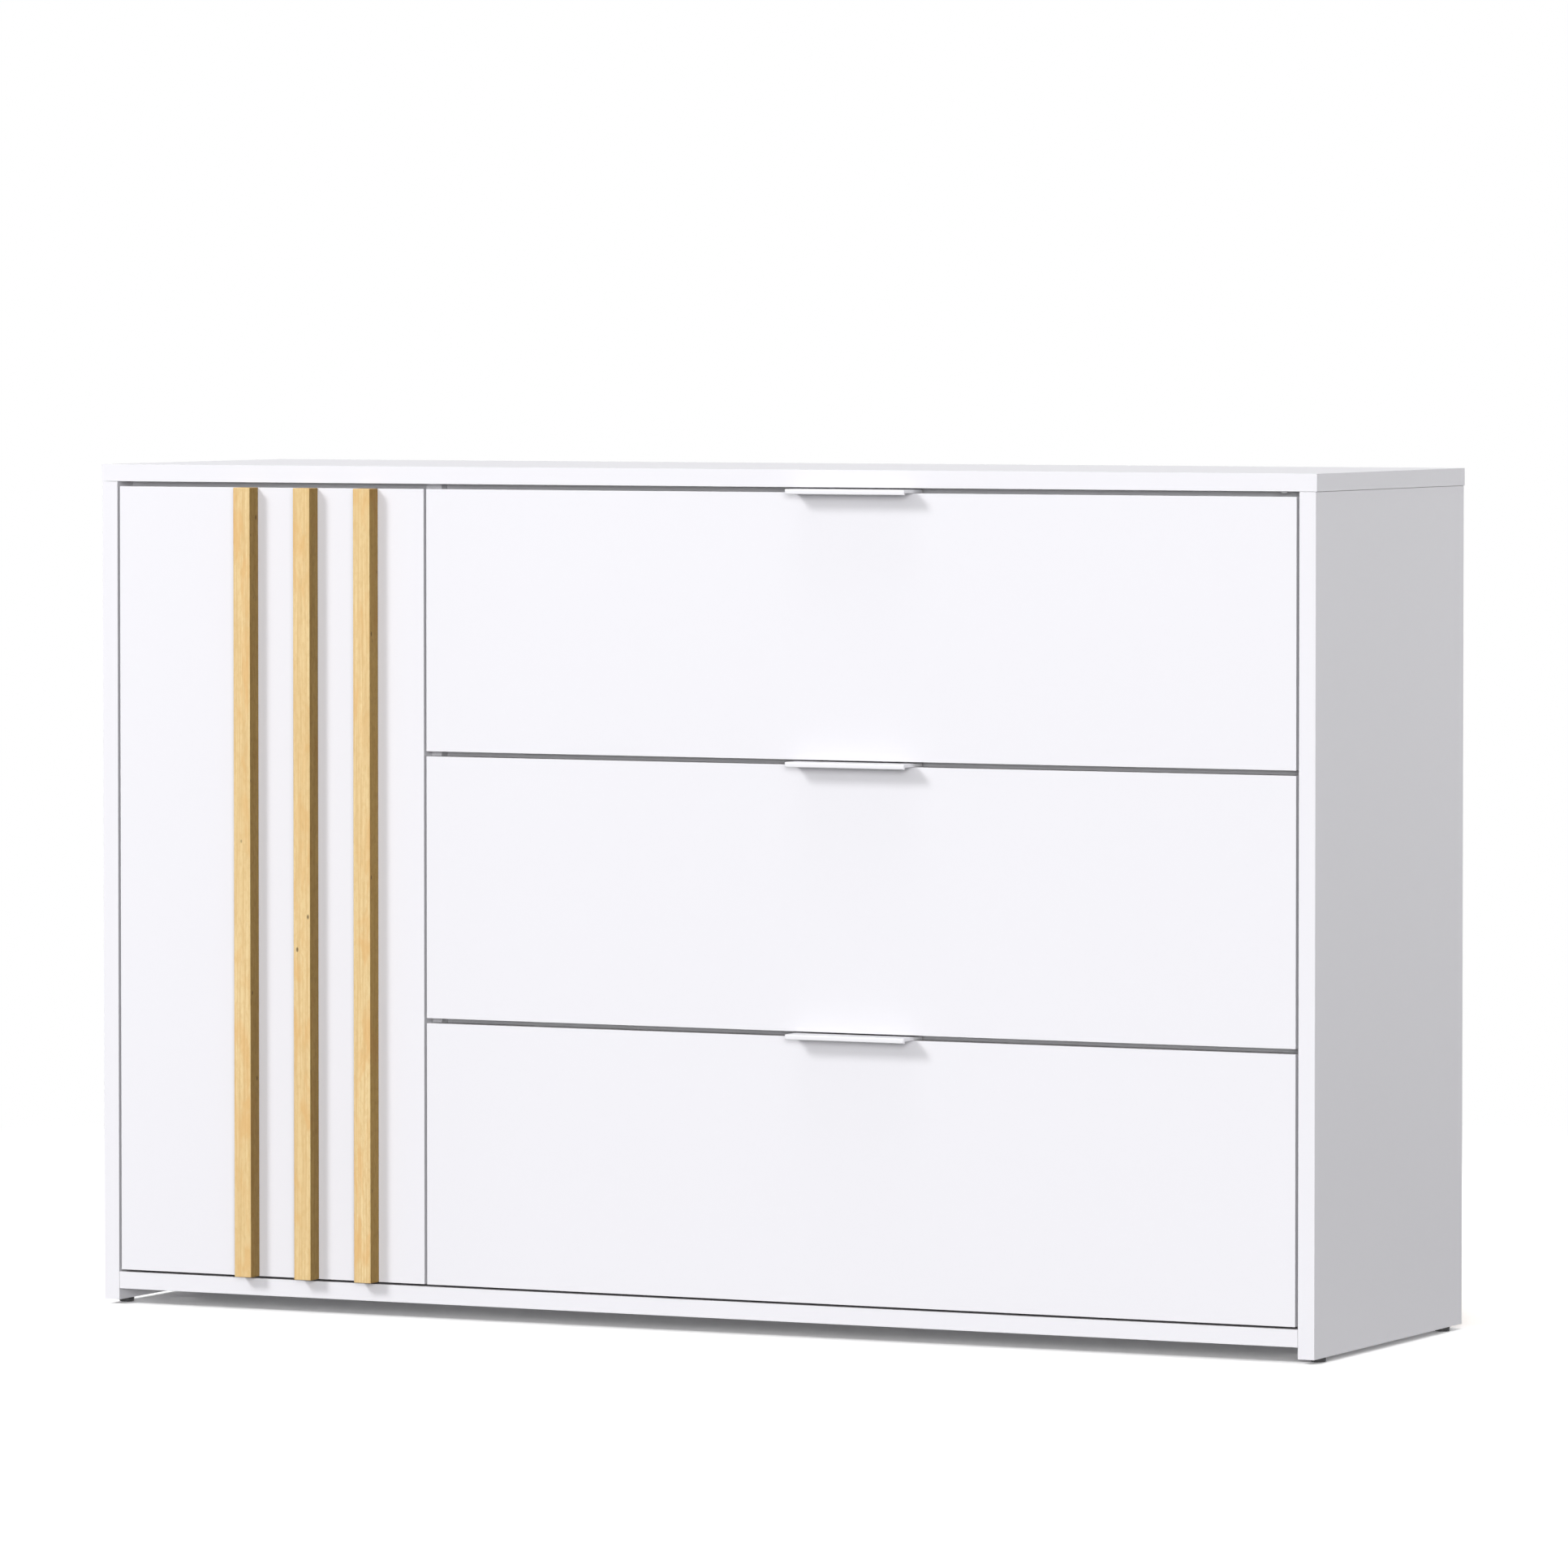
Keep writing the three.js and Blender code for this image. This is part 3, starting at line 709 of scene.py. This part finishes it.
HANDLE_PLATE = 3.4 * MM
HANDLE_LIP = 3.0 * MM
HANDLE_LIP_DROP = 1.8 * MM
HANDLE_FLANGE = 1.6 * MM
HANDLE_CORNERS = (0.9, 0.6, 1.0, 0.3, 0.4, 0.4, 1.4, 1.3)  # radii in mm, from the nose's front
HANDLE_END_ROUND = 0.8 * MM
HANDLE_END_STEPS = (0.0, 0.15, 0.4, 0.7, 1.0)  # shares of the round, from the end inwards
HANDLE_BEVEL = 0.25 * MM
HANDLE_SCREW_INSET = 24 * MM  # from the handle's ends
HANDLE_SCREW_DROP = 14 * MM  # under its top


def handle_section(low, high, x, recede):
    """Section in Y and Z at a place along X, with its nose drawn back."""
    front, back = low.y, high.y
    top, under = high.z, high.z - HANDLE_PLATE
    nose = under - HANDLE_LIP_DROP
    flange = back - HANDLE_FLANGE
    corners = [
        (front, nose), (front + HANDLE_LIP, nose), (front + HANDLE_LIP, under),
        (flange, under), (flange, low.z), (back, low.z), (back, top), (front, top),
    ]
    outline = rounded(corners, [radius * MM for radius in HANDLE_CORNERS])
    soft = front + HANDLE_LIP + 2 * HANDLE_END_ROUND
    section = []
    for y, z in outline:
        share = max(0.0, (soft - y) / (soft - front))
        section.append((x, y + recede * share, z))
    return section


def add_handle(drawer):
    """Plate with a lip and a rear flange, its front ends rounded in plan, and two screws."""
    node = f"{drawer}_drawer_handle"
    low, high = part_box(node)
    sections = []
    for share in HANDLE_END_STEPS:
        inset = HANDLE_END_ROUND * share
        left_over = HANDLE_END_ROUND - inset
        recede = HANDLE_END_ROUND - math.sqrt(HANDLE_END_ROUND ** 2 - left_over ** 2)
        sections.append((inset, recede))
    rows = [handle_section(low, high, low.x + inset, recede) for inset, recede in sections]
    rows += [
        handle_section(low, high, high.x - inset, recede) for inset, recede in reversed(sections)
    ]
    piece(
        f"{drawer}_edge_handle", [loft(rows)], "white_metal", f"{drawer}_drawer",
        bevel=HANDLE_BEVEL, replaces=[node],
    )
    middle = (low.x + high.x) / 2
    reach = (high.x - low.x) / 2 - HANDLE_SCREW_INSET
    screws = [
        placed(PAN_SCREW, (middle + side * reach, high.y, high.z - HANDLE_SCREW_DROP), Y_AXIS)
        for side in (-1, 1)
    ]
    piece(f"{drawer}_handle_screws", screws, "zinc_steel", f"{drawer}_drawer")


# ---- Glides and pad ------------------------------------------------------------

GLIDE_SIDES = 48
GLIDE_SPIGOT = (2.5 * MM, 9 * MM)  # radius, length
GLIDE_SPIGOT_CHAMFER = 0.6 * MM
GLIDE_HOLLOW = 0.2 * MM  # depth of the flat hollow in its foot
GLIDE_HOLLOW_EDGE = (0.55, 0.6)  # inner and outer, shares of its radius
GLIDE_FOOT_ROUND = (0.9 * MM, 0.35 * MM, 0.25 * MM)  # reach, then its middle, in and up
GLIDE_TOP_ROUND = (0.5 * MM, 0.15 * MM)  # reach, then its middle
PAD_SIDES = 40
PAD_STEPS = 8


def add_glide(row, side):
    """Round foot with a flat hollow underneath, and the spigot in the side panel's end."""
    node = f"glide_{row}_{side}"
    low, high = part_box(node)
    radius = (high.x - low.x) / 2
    neck, length = GLIDE_SPIGOT
    top, tip = high.z - length, high.z
    inner, outer = (radius * share for share in GLIDE_HOLLOW_EDGE)
    foot, foot_in, foot_up = GLIDE_FOOT_ROUND
    soft, soft_middle = GLIDE_TOP_ROUND
    profile = [
        (0, GLIDE_HOLLOW), (inner, GLIDE_HOLLOW), (outer, 0),
        (radius - foot, 0), (radius - foot_in, foot_up), (radius, foot),
        (radius, top - soft), (radius - soft_middle, top - soft_middle), (radius - soft, top),
        (neck, top), (neck, tip - GLIDE_SPIGOT_CHAMFER), (neck - GLIDE_SPIGOT_CHAMFER, tip),
        (0, tip),
    ]
    centre = ((low.x + high.x) / 2, (low.y + high.y) / 2, 0)
    solid = placed(lathe(profile, GLIDE_SIDES), centre)
    piece(f"{node}_turned", [solid], "black_plastic", "carcass", replaces=[node])


def add_bumper_pad():
    """Small dome under the top panel."""
    low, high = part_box("bumper_pad")
    radius, height = (high.x - low.x) / 2, high.z - low.z
    profile = [(0, 0), (radius, 0)]
    for step in range(1, PAD_STEPS):
        angle = math.pi / 2 * step / PAD_STEPS
        profile.append((radius * math.cos(angle), height * math.sin(angle)))
    profile.append((0, height))
    centre = ((low.x + high.x) / 2, (low.y + high.y) / 2, high.z)
    solid = placed(lathe(profile, PAD_SIDES), centre, -Z_AXIS)
    piece("bumper_pad_dome", [solid], "white_plastic", "carcass", replaces=["bumper_pad"])


# ---- Front cross rails ---------------------------------------------------------

CROSS_RAIL = 16 * MM
CROSS_RAIL_HEIGHT = 45 * MM
CROSS_RAIL_CLEARANCE = 10 * MM  # behind the handle screws
CROSS_RAIL_BEVEL = 0.4 * MM
DRAWER_CLEARANCE = 5 * MM  # under the drawer box above


def add_cross_rails():
    """Upright boards across the front of both bays, behind the gaps over the fronts."""
    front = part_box("top_drawer_handle")[1].y + PAN_SCREW_HEIGHT + CROSS_RAIL_CLEARANCE
    under_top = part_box("top_panel")[0].z - SEAT
    door_bay = (LEFT_WALL + SEAT, DIVIDER_LEFT - SEAT)
    drawer_bay = (DIVIDER_RIGHT + SEAT, RIGHT_WALL - SEAT)
    rails = [(door_bay, under_top), (drawer_bay, under_top)]
    for above in DRAWERS[1:]:
        rails.append((drawer_bay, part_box(f"{above}_drawer_left_side")[0].z - DRAWER_CLEARANCE))
    boards = [
        block((x0, front, top - CROSS_RAIL_HEIGHT), (x1, front + CROSS_RAIL, top))
        for (x0, x1), top in rails
    ]
    piece("front_cross_rails", boards, "white_board", "carcass", bevel=CROSS_RAIL_BEVEL)


# ---- Concealed hinges ----------------------------------------------------------

HINGE_BEVEL = 0.2 * MM
ARM_DEPTH = 5.0 * MM  # of the arm's channel
ARM_WEB = 1.2 * MM
ARM_FLANGE = 1.0 * MM
ARM_NOSE = 12 * MM  # straight stretch in front of the crank
ARM_CRANK_BACK = 25.2 * MM  # rear end of the crank, behind the nose
ARM_FORK = 5.0 * MM  # the web stops short of the nose
ARM_CORNER = 0.4 * MM
ARM_BEND = 4 * MM
ARM_SCREWS = (7 * MM, 27 * MM)  # in front of the arm's tail
PLATE_WINGS = (20 * MM, 52 * MM, 2.5 * MM)  # along Y, along Z, thick
PLATE_WINGS_CORNER = 8 * MM
PLATE_SADDLE = (36 * MM, 11 * MM, 6.0 * MM)  # along Y, along Z, thick
PLATE_SADDLE_CORNER = 2.5 * MM
PLATE_BEVEL = 0.5 * MM
PLATE_SCREW_RISE = 16 * MM
CUP_SIDES = 48
CUP_RIM = 1.5 * MM
CUP_FLANGE = 1.2 * MM
CUP_WALL = 1.4 * MM
CUP_RIM_EDGE = (0.7 * MM, 0.5 * MM)  # height of its upright flank, width of its slope
CUP_MOUTH = 0.6 * MM  # slope of the bore's upper edge
CUP_FOOT = (2 * MM, 0.6 * MM)  # reach of the outer round under the cup, then its middle
CUP_WELL = (3 * MM, 0.8 * MM)  # height and width of the slope at the foot of the bore
CUP_LUG = (15 * MM, 60 * MM, 1.0 * MM)  # along X, along Z, thick
CUP_LUG_CORNER = 7 * MM
CUP_SCREW_RISE = 22.5 * MM
LINK_RADIUS = 28.3 * MM  # around the door's axis
LINK_THICKNESS = 1.8 * MM
LINK_ANGLES = (58.0, 24.0)  # from +X towards +Y: pin in the arm, pin in the cup
LINK_STEPS = 24
LINK_BARS = ((-4.4 * MM, -1.6 * MM), (1.6 * MM, 4.4 * MM))
LINK_PIN = (1.6 * MM, 6.0 * MM)  # radius, half length
LINK_PIN_SIDES = 20

door_joint = next(joint for joint in frame["joints"] if joint["name"] == "door_swing")


def add_hinge_arm(row):
    """Cranked channel, open towards the side panel, with two adjusting screws."""
    node = f"{row}_hinge_arm"
    low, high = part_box(node)
    tail_x, nose_x, nose = low.x + ARM_DEPTH, high.x, low.y
    bends = [(tail_x, high.y), (tail_x, nose + ARM_CRANK_BACK), (nose_x, nose + ARM_NOSE)]

    def profile(depth, front):
        outer = [*bends, (nose_x, front)]
        inner = [(x - depth, y) for x, y in reversed(outer)]
        radii = [ARM_CORNER, ARM_BEND, ARM_BEND, ARM_CORNER]
        return rounded(outer + inner, radii * 2)

    web = prism(profile(ARM_WEB, nose + ARM_FORK), low.z, high.z)
    flange = profile(ARM_DEPTH, nose)
    lower = prism(flange, low.z, low.z + ARM_FLANGE)
    upper = prism(flange, high.z - ARM_FLANGE, high.z)
    piece(
        f"{row}_hinge_channel", [web, lower, upper], "zinc_steel", "carcass",
        bevel=HINGE_BEVEL, replaces=[node],
    )
    middle = (low.z + high.z) / 2
    heads = [
        placed(PAN_SCREW, (tail_x, high.y - inset, middle), X_AXIS) for inset in ARM_SCREWS
    ]
    piece(f"{row}_hinge_arm_screws", heads, "zinc_steel", "carcass")


def add_hinge_plate(row):
    """Screwed plate with two wings, and the saddle that carries the arm."""
    node = f"{row}_hinge_plate"
    low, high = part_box(node)
    seat = Vector((low.x, (low.y + high.y) / 2, (low.z + high.z) / 2))
    y_wide, z_tall, thin = PLATE_WINGS
    y_long, z_wide, thick = PLATE_SADDLE
    wings = plate(oblong(y_wide, z_tall, PLATE_WINGS_CORNER), [], thin)
    saddle = plate(oblong(y_long, z_wide, PLATE_SADDLE_CORNER), [], thick)
    solids = [placed(wings, seat, X_AXIS), placed(saddle, seat, X_AXIS)]
    piece(
        f"{row}_hinge_wing_plate", solids, "zinc_steel", "carcass",
        bevel=PLATE_BEVEL, replaces=[node],
    )
    heads = [
        placed(PAN_SCREW, seat + Vector((thin, 0, side * PLATE_SCREW_RISE)), X_AXIS)
        for side in (-1, 1)
    ]
    piece(f"{row}_hinge_plate_screws", heads, "zinc_steel", "carcass")


def add_hinge_cup(row):
    """Pressed cup with a rim and two lugs, screwed to the back of the door.

    Returns the height of its middle.
    """
    node = f"{row}_hinge_cup"
    low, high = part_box(node)
    rim = (high.x - low.x) / 2
    radius, bore = rim - CUP_RIM, rim - CUP_RIM - CUP_WALL
    face = high.y - CUP_FLANGE
    seat = Vector(((low.x + high.x) / 2, face, (low.z + high.z) / 2))
    floor = low.y - face
    foot, foot_middle = CUP_FOOT
    flank, slope = CUP_RIM_EDGE
    well_up, well_in = CUP_WELL
    profile = [
        (0, floor), (radius - foot, floor), (radius - foot_middle, floor + foot_middle),
        (radius, floor + foot), (radius, 0), (rim, 0), (rim, flank), (rim - slope, CUP_FLANGE),
        (bore + CUP_MOUTH, CUP_FLANGE), (bore, CUP_MOUTH), (bore, floor + well_up),
        (bore - well_in, floor + CUP_WALL), (0, floor + CUP_WALL),
    ]
    x_wide, z_tall, thin = CUP_LUG
    outline = oblong(x_wide, z_tall, CUP_LUG_CORNER)
    lugs = plate(outline, [circle(radius, CUP_SIDES)], thin)
    cup = lathe(profile, CUP_SIDES)
    solids = [placed(solid, seat, Y_AXIS) for solid in (cup, lugs)]
    piece(f"{row}_hinge_pressed_cup", solids, "zinc_steel", "door", replaces=[node])
    heads = [
        placed(FLAT_SCREW, seat + Vector((0, thin, side * CUP_SCREW_RISE)), Y_AXIS)
        for side in (-1, 1)
    ]
    piece(f"{row}_hinge_cup_screws", heads, "zinc_steel", "door")
    return seat.z


def on_door_arc(radius, degrees, height):
    """Point around the door's upright axis."""
    axis = Vector(door_joint["pos_m"])
    angle = math.radians(degrees)
    return (axis.x + radius * math.cos(angle), axis.y + radius * math.sin(angle), height)


def add_hinge_link(row, height):
    """Pair of bars from the arm to the cup, curved round the door's axis."""
    first, last = LINK_ANGLES
    turns = [first + (last - first) * i / LINK_STEPS for i in range(LINK_STEPS + 1)]
    radii = (LINK_RADIUS - LINK_THICKNESS / 2, LINK_RADIUS + LINK_THICKNESS / 2)
    bars = []
    for low, high in LINK_BARS:
        corners = [(radii[0], low), (radii[1], low), (radii[1], high), (radii[0], high)]
        bars.append(loft([
            [on_door_arc(radius, turn, height + rise) for radius, rise in corners]
            for turn in turns
        ]))
    item = piece(f"{row}_hinge_link", bars, "zinc_steel", bevel=HINGE_BEVEL)
    start, end = (Vector(on_door_arc(LINK_RADIUS, turn, height)) for turn in LINK_ANGLES)
    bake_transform(item)
    radius, half = LINK_PIN
    pin = lathe([(0, -half), (radius, -half), (radius, half), (0, half)], LINK_PIN_SIDES)
    for part, place, body in (("arm", start, "carcass"), ("cup", end, "door")):
        name = f"{row}_hinge_{part}_pin"
        piece(name, [placed(pin, place)], "zinc_steel", body, bevel=HINGE_BEVEL)


# ---- Drawer slides -------------------------------------------------------------

RAIL_SHEET = 1.2 * MM
RAIL_SCREWS = (35 * MM, 165 * MM, 315 * MM)  # behind a rail's front end
LEVER = (46 * MM, 7 * MM, 2.2 * MM)  # along Y, along Z, thick
LEVER_CORNER = 3 * MM
LEVER_BEVEL = 0.3 * MM
LEVER_BOSS = ((0.65, 0.0), (0.65, 1.4), (0.58, 1.6), (0.0, 1.6))  # shares of width, thickness
LEVER_PLACE = 128 * MM  # behind a rail's front end


def add_slide_fittings(drawer, side):
    """Screws through the outer and inner rail, and the release lever on the inner rail."""
    to_box = X_AXIS if side == "left" else -X_AXIS

    def web(part):
        """Front end of a rail, in the middle of its height, on the web's outer side."""
        low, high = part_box(f"{drawer}_{side}_slide_{part}_rail")
        at_wall = (part == "outer") == (side == "left")
        return Vector((low.x if at_wall else high.x, low.y, (low.z + high.z) / 2))

    outer = web("outer") + to_box * RAIL_SHEET
    inner = web("inner") - to_box * RAIL_SHEET
    heads = [placed(FLAT_SCREW, outer + Y_AXIS * back, to_box) for back in RAIL_SCREWS]
    piece(f"{drawer}_{side}_wall_rail_screws", heads, "zinc_steel", "carcass")
    heads = [placed(PAN_SCREW, inner + Y_AXIS * back, -to_box) for back in RAIL_SCREWS]
    piece(f"{drawer}_{side}_box_rail_screws", heads, "zinc_steel", f"{drawer}_drawer")
    length, width, thick = LEVER
    lever = plate(oblong(length, width, LEVER_CORNER), [], thick)
    boss = lathe([(width * across, thick * up) for across, up in LEVER_BOSS])
    solids = [placed(solid, inner + Y_AXIS * LEVER_PLACE, -to_box) for solid in (lever, boss)]
    piece(
        f"{drawer}_{side}_slide_lever", solids, "black_plastic", f"{drawer}_drawer",
        bevel=LEVER_BEVEL,
    )


# ---- Small fittings ------------------------------------------------------------

PIN_SLEEVE = lathe([
    (2.62 * MM, 0), (2.62 * MM, 6.6 * MM), (2.3 * MM, 7.0 * MM), (1.7 * MM, 7.15 * MM),
    (0, 7.15 * MM),
])
PIN_INSET = 35 * MM  # from a shelf's front and back edge
PIN_DROP = 2.8 * MM  # centre of a pin, under the shelf
BOX_FITTING_RISES = (50 * MM, 165 * MM)  # above the lower edge of a drawer box
BOX_CAM_INSET = 24 * MM  # behind the drawer front
BOX_SCREW_INSET = 6 * MM  # in front of the sides' rear ends
CORNER_INSET = 60 * MM  # of the carcass fittings, from a board's front and back edge
CAM_INSET = 34 * MM  # from the board that the cam holds
NAIL = lathe([(2.2 * MM, -0.2 * MM), (2.2 * MM, 0.02 * MM), (1.7 * MM, 0.08 * MM),
              (0, 0.1 * MM)], sides=14)
NAIL_SPACING = 100 * MM
NAIL_INSET = 9 * MM  # from a back panel's outer edges
NAIL_SEAM_INSET = 4.5 * MM  # from the seam between the back panels
DOOR_BUMPER = lathe([
    (0, 0), (4.0 * MM, 0), (4.0 * MM, 0.9 * MM), (3.6 * MM, 1.35 * MM), (2.4 * MM, 1.62 * MM),
    (0, 1.7 * MM),
])
DOOR_BUMPER_INSET = (4.7 * MM, 30 * MM)  # from the door's free edge, from its ends


def add_shelf_pins():
    """Metal sleeves around the pins that carry the shelves."""
    sleeves = []
    for shelf in ("shelf_1", "shelf_2"):
        low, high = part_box(shelf)
        for y in (low.y + PIN_INSET, high.y - PIN_INSET):
            z = low.z - PIN_DROP
            sleeves.append(placed(PIN_SLEEVE, (LEFT_WALL, y, z), X_AXIS))
            sleeves.append(placed(PIN_SLEEVE, (DIVIDER_LEFT, y, z), -X_AXIS))
    piece("shelf_pin_sleeves", sleeves, "zinc_steel", "carcass")


def add_drawer_fasteners(drawer):
    """Cams that hold the front to the sides, and screws through the sides into the back."""
    cams, screws = [], []
    for side in SIDES:
        low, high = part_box(f"{drawer}_drawer_{side}_side")
        inner, outer = (high.x, low.x) if side == "left" else (low.x, high.x)
        inward = X_AXIS if side == "left" else -X_AXIS
        for rise in BOX_FITTING_RISES:
            z = low.z + rise
            cams.append(placed(CAM, (inner, low.y + BOX_CAM_INSET, z), inward))
            screws.append(placed(FLAT_SCREW, (outer, high.y - BOX_SCREW_INSET, z), -inward))
    piece(f"{drawer}_drawer_cams", cams, "zinc_steel", f"{drawer}_drawer")
    piece(f"{drawer}_drawer_back_screws", screws, "zinc_steel", f"{drawer}_drawer")


def add_carcass_fasteners():
    """Covered cams under the top, cams and screws under the bottom panel."""
    low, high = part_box("divider_panel")
    rows = (low.y + CORNER_INSET, high.y - CORNER_INSET)
    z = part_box("top_panel")[0].z - CAM_INSET
    faces = ((LEFT_WALL, X_AXIS), (DIVIDER_LEFT, -X_AXIS), (RIGHT_WALL, -X_AXIS))
    covers = [placed(CAM_COVER, (x, y, z), facing) for x, facing in faces for y in rows]
    piece("cam_covers", covers, "white_plastic", "carcass")

    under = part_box("bottom_panel")[0].z
    ends = (LEFT_WALL + CAM_INSET, RIGHT_WALL - CAM_INSET)
    cams = [placed(CAM, (x, y, under), -Z_AXIS) for x in ends for y in rows]
    piece("bottom_panel_cams", cams, "zinc_steel", "carcass")
    middle = (DIVIDER_LEFT + DIVIDER_RIGHT) / 2
    screws = [placed(FLAT_SCREW, (middle, y, under), -Z_AXIS) for y in rows]
    piece("bottom_panel_screws", screws, "zinc_steel", "carcass")


def add_back_nails():
    """Nails along the edges of each back panel."""
    heads = []
    for panel, seam_side in (("back_panel_left", 1), ("back_panel_right", -1)):
        low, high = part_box(panel)
        outer_x, seam_x = (low.x, high.x) if seam_side == 1 else (high.x, low.x)
        columns = (outer_x + seam_side * NAIL_INSET, seam_x - seam_side * NAIL_SEAM_INSET)
        z_low, z_high = low.z + NAIL_INSET, high.z - NAIL_INSET
        rows = round((z_high - z_low) / NAIL_SPACING)
        heights = [z_low + (z_high - z_low) * i / rows for i in range(rows + 1)]
        places = [(x, z) for x in columns for z in heights]
        count = round(abs(columns[1] - columns[0]) / NAIL_SPACING)
        for i in range(1, count):
            x = columns[0] + (columns[1] - columns[0]) * i / count
            places += [(x, z_low), (x, z_high)]
        heads += [placed(NAIL, (x, high.y, z), Y_AXIS) for x, z in places]
    piece("back_panel_nails", heads, "zinc_steel", "carcass")


def add_door_bumpers():
    """Small pads on the back of the door, which meet the divider."""
    low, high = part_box("door_panel")
    from_edge, from_end = DOOR_BUMPER_INSET
    pads = [
        placed(DOOR_BUMPER, (high.x - from_edge, high.y, z), Y_AXIS)
        for z in (low.z + from_end, high.z - from_end)
    ]
    piece("door_bumpers", pads, "white_plastic", "door")


# ---- Build ---------------------------------------------------------------------

bpy.context.scene.view_settings.view_transform = "Standard"
add_camera()
for name, settings in LAMPS.items():
    add_lamp(name, *settings)
add_sky()
add_floor()
dress_nodes()
for drawer in DRAWERS:
    add_handle(drawer)
for row in ("front", "back"):
    for side in SIDES:
        add_glide(row, side)
add_bumper_pad()
add_cross_rails()
for row in HINGES:
    add_hinge_arm(row)
    add_hinge_plate(row)
    add_hinge_link(row, add_hinge_cup(row))
for drawer in DRAWERS:
    for side in SIDES:
        add_slide_fittings(drawer, side)
    add_drawer_fasteners(drawer)
add_shelf_pins()
add_carcass_fasteners()
add_back_nails()
add_door_bumpers()
